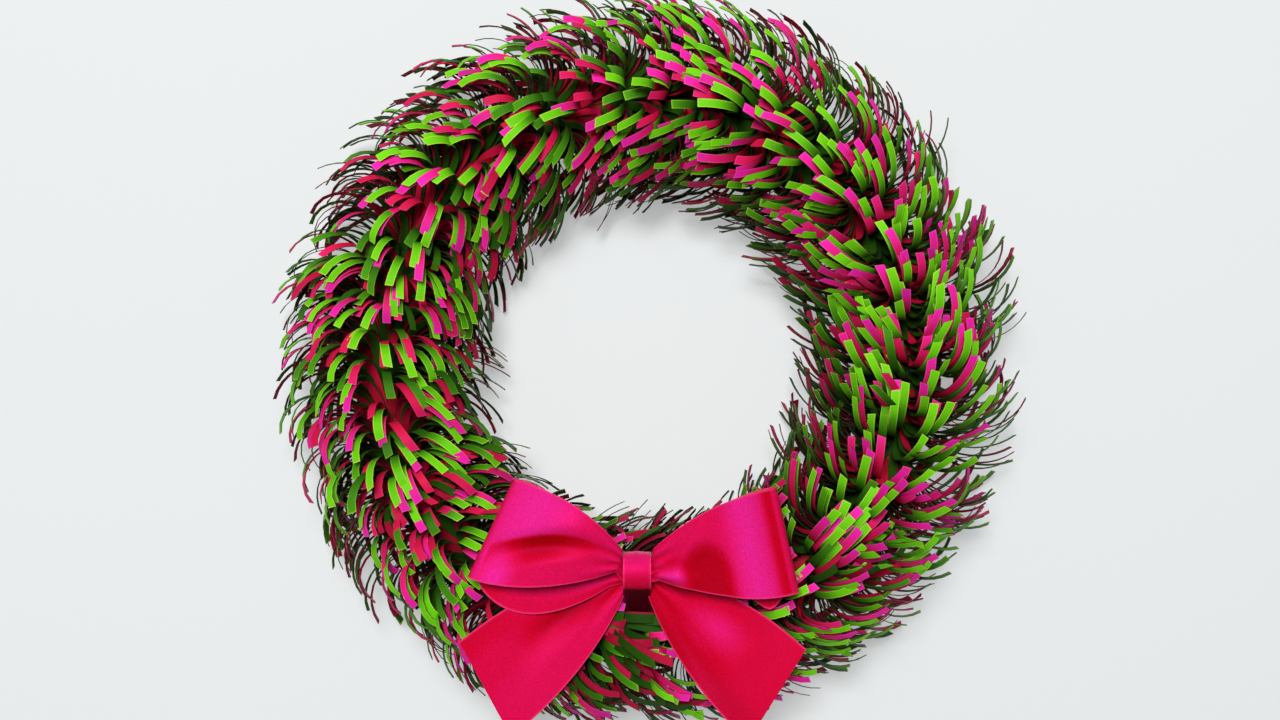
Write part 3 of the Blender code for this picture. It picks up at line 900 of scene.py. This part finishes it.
def lay_strip(parts, strip):
    """Adds a strip clear of bow and wall, or leaves it out where there is no room."""
    course = fit_to_bow(strip)
    if course:
        add_strip(parts, strip, clear_of_wall(strip, course))


def band_turn(node):
    """The ring angle where a band's strips leave its margin."""
    total_x = total_z = 0.0
    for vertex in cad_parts[node].data.vertices:
        from_centre = vertex.co - RING_CENTRE
        outward = hypot(from_centre.x, from_centre.z) - HOOP_RADIUS
        if hypot(outward, from_centre.y) < MARGIN_REACH:
            total_x += from_centre.x
            total_z += from_centre.z
    return atan2(total_z, total_x) - MARGIN_WIDTH / 2 / HOOP_RADIUS


def hooked(turn):
    """How far the strips hook back: not on the wreath's right, fully on its left."""
    return clamp(HOOK_MIDDLE - HOOK_SWING * cos(turn + HOOK_TURN))


def parted(turn, side):
    """How far strips on the front lean apart, to either side of its middle line."""
    aside = (side - pi / 2 + pi) % tau - pi
    share = aside / PARTING_WIDTH
    return (PARTING + PARTING_LEFT * hooked(turn)) * share * exp(1 - abs(share))


def shaded(side):
    """How far a strip beside or behind the core stands in the shade of the others."""
    near, far = FLANK_FADE
    inside = max(0.0, -cos(side))
    beside = 1 - smooth(sin(side), near, far + INNER_SHADE_REACH * inside)
    behind = smooth(-sin(side), *BEHIND_FADE)
    return beside * (1 + INNER_SHADE_DEPTH * inside) * (1 - BEHIND_LIGHTER * behind)


def make_strip(turn, side, length, lean_offset=0.0, tip_offset=0.0):
    """The measures of one strip. Neighbours share most of their lean, curl and sway."""
    front = max(0.0, sin(side))
    hook = front * hooked(turn)
    loosened = 1 - smooth(-sin(side), *PRESSED_BEHIND)
    loose_lean = stray("lean", side, turn)
    loose_tip = stray("tip_lean", side, turn)
    sway = stray("sway", side, turn)
    lean = root_lean(side) + loosened * (loose_lean + lean_offset)
    lean -= HOOK_ROOT * front + HOOK_ROOT_LEFT * hook
    tip_lean = LEAN_AT_TIP + loosened * (loose_tip + lean_offset + tip_offset)
    is_dull = CHANCE.random() < DULL_SHARE + DULL_SHARE_LEFT * hooked(turn)
    paleness = DULL_PALENESS if is_dull else 1.0
    root = turn + CHANCE.uniform(-ROOT_SCATTER, ROOT_SCATTER)
    shorter = LENGTH_SPREAD * CHANCE.random() ** LENGTH_POWER
    return {
        "turn": root,
        "side": side,
        "length": length - shorter - INNER_SHORTER * max(0, -cos(side)),
        "lean": max(lean, LEAST_LEAN),
        "tip_lean": tip_lean + HOOK_TIP_LEFT * hook,
        "curl": (CURL_POWER + HOOK_CURL_LEFT * hook) * (1 + CURL_STRAY * wave(side, turn, CURL_PHASE)),
        "sway": sway + parted(turn, side),
        "width": STRIP_WIDTH * CHANCE.uniform(*WIDTH_SHARES),
        "roll": swing(ROLL),
        "twist": stray("twist", side, turn),
        # Tone is random, lowered by painted shade beside and behind the core, where paleness drops too.
        "tone": swing() + FLANK_SHADE_TONE * shaded(side),
        "paleness": paleness * (1 + (FLANK_SHADE_PALENESS - 1) * shaded(side)),
        "slant": swing(CUT_SLANT),
    }


def strip_under(leader, shift, lean_offset):
    """A strip close under another one, a little aside and longer or shorter."""
    strip = dict(leader)
    strip["turn"] += shift
    strip["lean"] += lean_offset + UNDER_LEAN * CHANCE.random()
    strip["tip_lean"] += lean_offset + UNDER_TIP_LEAN * CHANCE.random()
    strip["side"] += swing(UNDER_ASIDE)
    strip["sway"] += swing(UNDER_SWAY)
    strip["length"] += UNDER_LENGTH * CHANCE.uniform(*UNDER_LENGTHS)
    strip["tone"] += swing(UNDER_TONE)
    strip["slant"] = swing(CUT_SLANT)
    return strip


def nearest_band(bands, k, colour):
    """The band of this colour that carries a row of fan k: its own, or the one beside it."""
    for step in (0, 1, -1):
        if 0 <= k + step < len(bands) and bands[k + step][1].startswith(colour):
            return bands[k + step][1]


def row_of_strips(turn, lean_offset, tip_offset):
    """A row of strips side by side, all round the core."""
    start = CHANCE.random()
    length = CUT_LENGTH - ROW_SHORTER * CHANCE.random()
    strips = []
    for number in range(STRIPS_PER_ROW):
        place = number + start + swing(STRIP_SCATTER)
        side = tau * place / STRIPS_PER_ROW
        strips.append(make_strip(turn, side, length, lean_offset, tip_offset))
    return strips


def add_fan(parts_of, bands, k):
    """The rows of one fan, each in the piece of its own band or of the next one."""
    root = bands[k][0]
    fan_lean = swing(FAN_LEAN)
    fan_tip = swing(FAN_TIP_LEAN)
    strips, place, lean = [], 0.0, 0.0
    for colour, row_place, degrees, is_under in FANS[k % len(FANS)]:
        row_lean = radians(degrees)
        if is_under:
            shift = (row_place - place) / HOOP_RADIUS
            strips = [strip_under(strip, shift, row_lean - lean) for strip in strips]
        else:
            turn = root + row_place / HOOP_RADIUS
            strips = row_of_strips(turn, row_lean + fan_lean, fan_tip)
        place, lean = row_place, row_lean
        for strip in strips:
            lay_strip(parts_of[nearest_band(bands, k, colour)], strip)


def add_fillers(parts, root):
    """A thin row of shorter strips on the front, midway to the next fan."""
    first, last = FILLER_SIDES
    for number in range(FILLERS):
        side = first + (last - first) * (number + CHANCE.random()) / FILLERS
        turn = root + FILLER_PLACE / HOOP_RADIUS
        strip = make_strip(turn, side, FILLER_LENGTH)
        # Painted shade: a filler is darkened along its ramp, more so on the wreath's left.
        strip["paleness"] *= FILLER_PALENESS - FILLER_SHADE_LEFT * hooked(turn)
        lay_strip(parts, strip)


def add_covers(parts_of, bands):
    """Pairs of strips, in the pieces of the band at their root and of its neighbour."""
    for degrees, lean_root, lean_tip, first_side, last_side, count, length in COVERS:
        turn = radians(degrees)
        k = min(range(len(bands)), key=lambda number: 1 - cos(bands[number][0] - turn))
        node = bands[k][1]
        under = nearest_band(bands, k, "pink" if node.startswith("green") else "green")
        for number in range(count):
            share = (number + COVER_SCATTER * CHANCE.random()) / count
            side = radians(first_side + (last_side - first_side) * share)
            strip = make_strip(turn, side, length)
            strip["lean"] = radians(lean_root + swing(COVER_LEAN))
            strip["tip_lean"] = radians(lean_tip + swing(COVER_TIP_LEAN))
            # Painted shade, of a random depth for each cover.
            shade = smooth(CHANCE.random(), *COVER_SHADE)
            strip["paleness"] *= 1 - COVER_PALENESS * shade
            strip["tone"] -= COVER_TONE * shade
            strip["sway"] += swing(COVER_SWAY)
            pair = strip_under(strip, PAIR_GAP / HOOP_RADIUS, PAIR_LEAN)
            lay_strip(parts_of[node], strip)
            lay_strip(parts_of[under], pair)


def ring_row(parts, turn, reach, sides, **values):
    """A closed row of points round the core."""
    row = [parts.add_point(ring_point(turn, reach, tau * k / sides), **values) for k in range(sides)]
    return row + row[:1]


def add_margin(parts, root):
    """The band's uncut margin, wound round the core."""
    half = PAPER_THICKNESS / 2
    values = dict(along=0.0, across=0.0, to_tip=1.0, tone=0.0)
    rows = []
    for turn in (root, root + MARGIN_WIDTH / HOOP_RADIUS):
        for reach in (ROOT_REACH - half, ROOT_REACH + half):
            rows.append(ring_row(parts, turn, reach, MARGIN_SIDES, **values))
    inner_root, outer_root, inner_far, outer_far = rows
    loop = (inner_root, inner_far, outer_far, outer_root)
    for first, second in zip(loop, loop[1:] + loop[:1]):
        parts.add_quads(first, second)


def build_fringe():
    """The strips and margins of every band, in place of its plain solid."""
    finishes = {"green": green_paper(), "pink": pink_paper()}
    names = [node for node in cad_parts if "_fringe_" in node]
    bands = sorted(((band_turn(node) + pi / 2) % tau, node) for node in names)
    bands = [(turn - pi / 2, node) for turn, node in bands]
    parts_of = {node: MeshParts("along", "across", "to_tip", "tone") for node in names}
    for k in range(len(bands)):
        add_fan(parts_of, bands, k)
    for root, node in bands:
        add_fillers(parts_of[node], root)
    add_covers(parts_of, bands)
    for turn, node in bands:
        colour = node.split("_")[0]
        add_margin(parts_of[node], turn)
        made = parts_of[node].finish(node + "_strips", finishes[colour], PAPER_SHARP_ANGLE)
        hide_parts(node)
        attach(made, "root")


def build_core():
    """The rolled card hoop, rounder than its plain solid."""
    parts = MeshParts()
    rows = []
    for i in range(HOOP_STEPS):
        rows.append(ring_row(parts, tau * i / HOOP_STEPS, CORE_RADIUS * HOOP_SHARE, HOOP_SIDES))
    for first, second in zip(rows, rows[1:] + rows[:1]):
        parts.add_quads(first, second)
    made = parts.finish("card_hoop", card_material(), CARD_SHARP_ANGLE)
    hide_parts("core_ring")
    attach(made, "root")


# Bow


def tail_depth(share):
    at_knot = BACK_DEPTH + PLEAT_DEPTH + RIBBON_THICKNESS + LAYER_GAP
    return at_knot - TAIL_FORWARD * share**TAIL_FORWARD_POWER


def past_knot(share, power):
    """Where the rows of a ribbon lie, from beside the knot to its end."""
    return FIRST_ROW + (1 - FIRST_ROW) * share**power


def spread(start, end, share, sharpness):
    """Widens fast from start and settles towards end."""
    return start + (end - start) * (1 - (1 - share) ** sharpness)


def gathered(gather, share, across):
    """How far the gathers stand out at a point, and how much painted sheen they take: painted shade in
    their hollows, painted light on their ridges.
    """
    height, fade, shade = gather
    fold = cos(tau * (PLEATS * across)) * max(0.0, 1 - share / fade) ** 2
    return PLEAT_DEPTH * height * fold, shade * fold


def shape_at(shape, value):
    """How strong a patch is at a place along or across the ribbon, from 0 to 1."""
    if shape is None:
        return 1.0
    kind, first, second = shape
    if kind == "hump":
        return bump(value, first, second)
    risen = smooth(value, first, second)
    return risen if kind == "rise" else 1 - risen


def patched(name, share, across):
    """How far the satin is pressed back at a point, and how its sheen runs."""
    sheen, patches = PATCHES[name]
    dent = 0.0
    for long_shape, cross_shape, drift, depth, light in patches:
        amount = shape_at(long_shape, share) * shape_at(cross_shape, across - drift * share)
        dent += depth * amount
        sheen += light * amount
    return dent, sheen


def left_front(share, across):
    """The left loop is pressed in under a long crest, with a painted shadow that fades downwards."""
    below = across - (CREST_START + CREST_DROP * share**CREST_POWER)
    shadow = smooth(below, *SHADOW_START) * (1 - smooth(below, *SHADOW_END))
    shadow *= bump(share, *SHADOW_MIDDLE)
    dent, _ = patched("left_crest", share, below)
    _, upper = patched("left_above_crest", share, across)
    _, lower = patched("left_below_crest", share, across)
    sheen = upper + (lower - SHADOW_SHADE * shadow - upper) * smooth(below, *CREST_STEP)
    return dent, sheen


def right_front(share, across):
    """The right loop has one broad hollow with painted shade, a short gather beside the knot and a
    painted bright band.
    """
    aside = (share - HOLLOW_MIDDLE[0]) / HOLLOW_SIZE[0]
    above = min(across - HOLLOW_MIDDLE[1], 0.0) / HOLLOW_SIZE[1]
    hollow = 1 - smooth(hypot(aside, above), *HOLLOW_FADE)
    dent, sheen = patched("right_loop", share, across)
    return dent + HOLLOW_DEPTH * hollow, sheen - HOLLOW_SHADE * hollow


def back_edge(side, share):
    """Where the lower edge of a loop's back layer runs: it hangs out below the front layer."""
    edge = spread(side["back_low"], -HALF_RIBBON, share, side["back_spread"])
    if side is LEFT:
        along_power, round_power = LEFT_SAG_POWERS
        return edge - LEFT_BACK_SAG * sin(pi * share**along_power) ** round_power
    return edge - RIGHT_BACK_SAG * bump(share, *RIGHT_SAG_PLACE)


def ribbon_point(angle, reach, skew, share, across, depth):
    """A point of a layer, by its share of the way from the strap."""
    along, up = axes_of(angle)
    start = STRAP_WIDTH / 2
    reach -= across * tan(skew)
    point = KNOT + along * (start + (reach - start) * share) + up * across
    return Vector((point.x, depth, point.z))


def loop_point(side, share, v, is_front):
    if is_front:
        top = spread(side["front_top"], HALF_RIBBON, share, FRONT_TOP_SPREAD)
        low = spread(side["front_low"], -HALF_RIBBON, share, FRONT_LOW_SPREAD)
        rise = LOOP_LIFT * sin(pi * share**LIFT_POWER) * (1 - LIFT_LESS_BELOW * v)
        start = KNOT.y - PINCH_ROOM
        depth = start + (BACK_DEPTH - 2 * FOLD_RADIUS - start) * share - rise
    else:
        top = spread(side["front_top"], HALF_RIBBON, share, BACK_TOP_SPREAD)
        low = back_edge(side, share)
        depth = BACK_DEPTH
    across = top + (low - top) * v
    return ribbon_point(side["loop_angle"], side["loop_reach"], side["fold_skew"], share, across, depth)


def loop_row(side, share, is_front):
    """A row of (point, sheen) across the front or back layer of a loop."""
    row = []
    for v in ACROSS:
        if is_front:
            dent, sheen = (left_front if side is LEFT else right_front)(share, v)
            gather, shade = gathered(FRONT_GATHER, share, v)
        else:
            dent, sheen = patched("loop_back", share, v)
            gather, shade = gathered(BACK_GATHER, share, v)
        point = loop_point(side, share, v, is_front) + Vector((0, dent + gather, 0))
        row.append((point, clamp(clamp(sheen) - shade)))
    return row


def fold_row(side, angle):
    """A row of (point, sheen) across the round fold at a loop's end."""
    along, _ = axes_of(side["loop_angle"])
    # Painted sheen on the fold, lightest where it faces the front.
    sheen = clamp(side["fold_sheen"] + side["fold_swing"] * cos(angle))
    row = []
    for v in ACROSS:
        middle = loop_point(side, 1.0, v, True) + Vector((0, FOLD_RADIUS, 0))
        point = middle + along * FOLD_RADIUS * sin(angle)
        point.y -= FOLD_RADIUS * cos(angle)
        row.append((point, sheen))
    return row


def front_pinch_row(way):
    """Where the loop's front layer runs into the strap, in pleats round the knot."""
    row = []
    for v in ACROSS:
        angle = PINCH_ANGLE * (1 - PINCH_TURN * v)
        radius = PINCH_ROOM - PLEAT_DEPTH * (1 - cos(tau * PLEATS * v))
        offset = Vector((0, -radius * cos(angle), radius * sin(angle)))
        point = KNOT + offset + Vector((way * PINCH_ASIDE, 0, 0))
        row.append((point, FRONT_PINCH_SHEEN))
    return row


def flat_pinch_row(way, depth):
    """Where a flat layer behind the knot's front runs into the strap."""
    x = KNOT.x + way * PINCH_ASIDE
    height = PINCH_ROOM * FLAT_PINCH_HEIGHT
    row = []
    for v in ACROSS:
        pleat = PLEAT_DEPTH / 2 * cos(tau * PLEATS * v)
        point = Vector((x, depth + pleat, KNOT.z + height * (1 - 2 * v)))
        row.append((point, FLAT_PINCH_SHEEN))
    return row


def loop_rows(side):
    """Rows from the knot's front along a loop, round its fold and back behind."""
    rows = [front_pinch_row(side["way"])]
    for i in range(1, FRONT_STEPS + 1):
        rows.append(loop_row(side, past_knot(i / FRONT_STEPS, LOOP_ROW_POWER), True))
    for i in range(1, FOLD_STEPS):
        rows.append(fold_row(side, pi * i / FOLD_STEPS))
    for i in range(BACK_STEPS):
        rows.append(loop_row(side, past_knot(1 - i / BACK_STEPS, LOOP_ROW_POWER), False))
    rows.append(flat_pinch_row(side["way"], BACK_DEPTH))
    return rows


def tail_rows(side):
    rows = []
    for i in range(1, TAIL_STEPS + 1):
        share = past_knot(i / TAIL_STEPS, TAIL_ROW_POWER)
        top = spread(PINCH_ROOM * TAIL_PINCH_TOP, HALF_RIBBON, share, TAIL_TOP_SPREAD)
        low = spread(-PINCH_ROOM * TAIL_PINCH_LOW, -HALF_RIBBON, share, TAIL_LOW_SPREAD)
        row = []
        for v in ACROSS:
            dent, sheen = patched(side["name"] + "_tail", share, v)
            gather, shade = gathered(TAIL_GATHER, share, v)
            across = top + (low - top) * v
            depth = tail_depth(share) + dent * (1 - share**TAIL_DENT_POWER) + gather
            point = ribbon_point(side["tail_angle"], side["tail_reach"], TAIL_SKEW, share, across, depth)
            row.append((point, clamp(clamp(sheen) - shade)))
        rows.append(row)
    return rows


def sheet_mesh(name, rows, thickness, is_ring, finish):
    """Gives a grid of (point, sheen) a thickness and closes it."""
    parts = MeshParts("sheen", "selvedge")
    count, width = len(rows), len(rows[0])
    near, far = [], []
    for i, row in enumerate(rows):
        before = rows[i - 1] if i or is_ring else row
        after = rows[(i + 1) % count] if i < count - 1 or is_ring else row
        near_row, far_row = [], []
        for j, (point, sheen) in enumerate(row):
            along = after[j][0] - before[j][0]
            across = row[min(j + 1, width - 1)][0] - row[max(j - 1, 0)][0]
            offset = along.cross(across).normalized() * thickness / 2
            edge = 1.0 if j in (0, width - 1) else 0.0
            for line, place in ((near_row, point + offset), (far_row, point - offset)):
                line.append(parts.add_point(place, sheen=sheen, selvedge=edge))
        near.append(near_row)
        far.append(far_row)
    for i in range(count if is_ring else count - 1):
        n = (i + 1) % count
        parts.add_quads(near[i] + far[i][-1:], near[n] + far[n][-1:])
        parts.add_quads(near[i][:1] + far[i], near[n][:1] + far[n], flipped=True)
    if not is_ring:
        parts.add_quads(near[0], far[0], flipped=True)
        parts.add_quads(near[-1], far[-1])
    return parts.finish(name, finish, SATIN_SHARP_ANGLE)


def middle_row(first, second):
    return [((a + b) / 2, (s + t) / 2) for (a, s), (b, t) in zip(first, second)]


def build_loops(finish):
    left = loop_rows(LEFT)
    right = loop_rows(RIGHT)
    right.reverse()
    rows = left + [middle_row(left[-1], right[0])] + right + [middle_row(right[-1], left[0])]
    made = sheet_mesh("satin_loops", rows, RIBBON_THICKNESS, True, finish)
    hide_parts("bow_loops")
    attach(made, "root")


def build_tails(finish):
    left = tail_rows(LEFT)
    left.reverse()
    pinch = [flat_pinch_row(way, tail_depth(0)) for way in (-1, 1)]
    rows = left + pinch + tail_rows(RIGHT)
    made = sheet_mesh("satin_tails", rows, RIBBON_THICKNESS, False, finish)
    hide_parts("bow_tails")
    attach(made, "root")


def strap_row(centre, radius, angle, is_at_knot):
    """A row of (point, sheen) across the strap, crowned at the knot, where its painted sheen is lightest
    on top; elsewhere painted deep shade.
    """
    sheen = DEEP_SHADE
    if is_at_knot:
        sheen = STRAP_SHEEN + STRAP_SHEEN_ABOVE * smooth(sin(angle), *STRAP_SHEEN_RISE)
    row = []
    for column in range(STRAP_COLUMNS + 1):
        v = column / STRAP_COLUMNS
        crown = STRAP_CROWN * sin(pi * v) * is_at_knot
        outside = radius + STRAP_THICKNESS / 2 + crown
        y = centre.x + outside * cos(angle)
        z = centre.y + outside * sin(angle)
        row.append((Vector((KNOT.x + STRAP_WIDTH * (v - 0.5), y, z)), sheen))
    return row


def build_knot(finish):
    """The strap is a belt round the gathered ribbons in front and the core behind."""
    core_axis = Vector((0, RING_CENTRE.z - HOOP_RADIUS))
    knot_axis = Vector((KNOT.y, KNOT.z))
    run = knot_axis - core_axis
    heading = atan2(run.y, run.x)
    lean = acos((STRAP_CORE_RADIUS - KNOT_RADIUS) / run.length)
    rows = []
    for centre, radius, start, end in (
        (knot_axis, KNOT_RADIUS, heading - lean, heading + lean),
        (core_axis, STRAP_CORE_RADIUS, heading + lean, heading - lean + tau),
    ):
        for k in range(STRAP_STEPS + 1):
            angle = start + (end - start) * k / STRAP_STEPS
            rows.append(strap_row(centre, radius, angle, centre is knot_axis))
        # Just past the knot the strap turns to painted deep shade, as deep in the fringe.
        if centre is knot_axis:
            onwards = Vector((0, -sin(end), cos(end))) * STRAP_LIT_PAST_KNOT
            rows.append([(place + onwards, DEEP_SHADE) for place, _ in rows[-1]])
    made = sheet_mesh("bow_knot_band", rows, STRAP_THICKNESS, True, finish)
    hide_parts("bow_knot")
    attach(made, "root")


def build_bow():
    finish = satin_material()
    build_loops(finish)
    build_tails(finish)
    build_knot(finish)


# Studio


def add_lamp(name, place, size, power):
    data = bpy.data.lights.new(name, "AREA")
    data.size = size
    data.energy = power
    made = add_object(name, data)
    made.location = place
    made.rotation_euler = (RING_CENTRE - Vector(place)).to_track_quat("-Z", "Y").to_euler()


def build_wall():
    half = WALL_SIZE / 2
    y = CAD_HIGH.y + WALL_GAP
    corners = [(-half, y, -half), (half, y, -half), (half, y, half), (-half, y, half)]
    mesh = bpy.data.meshes.new("wall")
    mesh.from_pydata(corners, [], [(0, 1, 2, 3)])
    mesh.materials.append(wall_material())
    add_object("wall", mesh)


def build_studio():
    build_wall()
    for lamp in LAMPS:
        add_lamp(*lamp)
    world = bpy.data.worlds.new("studio")
    world.use_nodes = True
    background = world.node_tree.nodes["Background"]
    fill(background, {"Color": (1, 1, 1), "Strength": WORLD_STRENGTH})
    bpy.context.scene.world = world
    bpy.context.scene.view_settings.view_transform = "Standard"


def build_camera():
    data = bpy.data.cameras.new("camera")
    data.sensor_width = SENSOR_WIDTH
    data.lens = SENSOR_WIDTH * CAMERA_DISTANCE / FRAME_WIDTH_AT_RING
    made = add_object("camera", data)
    made.location = RING_CENTRE + Vector((CAMERA_ASIDE, -CAMERA_DISTANCE, 0))
    made.rotation_euler = (radians(90), 0, 0)
    bpy.context.scene.camera = made


build_camera()
build_core()
build_fringe()
build_bow()
build_studio()
